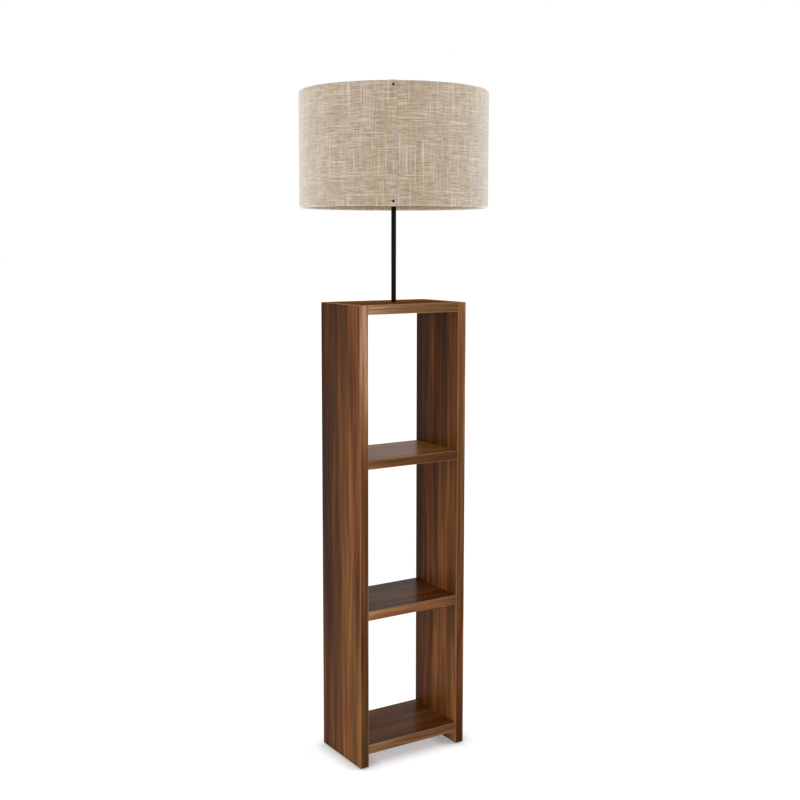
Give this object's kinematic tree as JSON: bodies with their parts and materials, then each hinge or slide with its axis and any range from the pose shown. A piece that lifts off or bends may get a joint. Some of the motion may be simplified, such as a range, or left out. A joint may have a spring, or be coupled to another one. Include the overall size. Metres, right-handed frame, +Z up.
{
  "type": "shelf floor lamp",
  "caption": "Floor lamp on an open walnut-faced shelf column with a slim black tube, an E27 lampholder and a straight linen drum shade.",
  "frame": {"origin": "on the floor, on the axis of the lamp tube, in the middle of the shelf unit", "axes": "+Z up along the lamp tube; the open front faces -Y; the left side panel is at -X"},
  "size_m": [0.3799, 0.38, 1.354],
  "materials": {
    "walnut_board": "satin melamine facing with straight walnut grain",
    "walnut_edge_band": "satin ABS edge band with walnut print",
    "beech": "bare fluted beech",
    "zinc_steel": "bright zinc plate",
    "black_plastic": "moulded, fine matt",
    "black_tube": "satin black lacquer on steel",
    "porcelain": "unglazed white",
    "nickel_shell": "bright rolled",
    "brass_contact": "bright",
    "shade_linen": "slubbed plain-weave linen",
    "shade_liner": "warm ivory translucent styrene",
    "white_wire": "white epoxy powder coat",
    "black_stud": "black oxide",
    "opal_glass": "opal white",
    "cap_insulator": "black glass-like",
    "stem_glass": "clear pressed",
    "phosphor": "yellow silicone coat"
  },
  "bodies": {
    "stand": {"left_side_panel": "walnut_board", "right_side_panel": "walnut_board", "top_panel": "walnut_board", "upper_shelf": "walnut_board", "lower_shelf": "walnut_board", "bottom_shelf": "walnut_board", "side_edge_bands": "walnut_edge_band", "shelf_edge_bands": "walnut_edge_band", "dowels": "beech", "cam_bolts": "zinc_steel", "cam_locks": "zinc_steel", "floor_glides": "black_plastic", "lamp_tube": "black_tube", "tube_plate": "zinc_steel", "plate_screws": "zinc_steel", "tube_nut": "zinc_steel", "cord_bush": "black_plastic", "holder_cap": "black_plastic", "holder_body": "black_plastic", "holder_insert": "porcelain", "holder_sleeve": "nickel_shell", "center_contact": "brass_contact", "terminal_screws": "brass_contact", "shade_ring_nut": "black_plastic"},
    "shade": {"shade_fabric": "shade_linen", "shade_liner": "shade_liner", "top_wire_ring": "white_wire", "shade_carrier": "white_wire", "seam_studs": "black_stud"},
    "bulb": {"bulb_glass": "opal_glass", "bulb_cap": "nickel_shell", "bulb_insulator": "cap_insulator", "bulb_eyelet": "brass_contact", "bulb_stem": "stem_glass", "bulb_filaments": "phosphor"}
  },
  "joints": [
    {"name": "shade_turn", "type": "hinge", "parent": "stand", "child": "shade", "pos_m": [0, 0, 1.161], "axis": [0, 0, 1], "continuous": true},
    {"name": "bulb_unscrew", "type": "slide", "parent": "stand", "child": "bulb", "axis": [0, 0, 1], "range_m": [0, 0.026]}
  ]
}
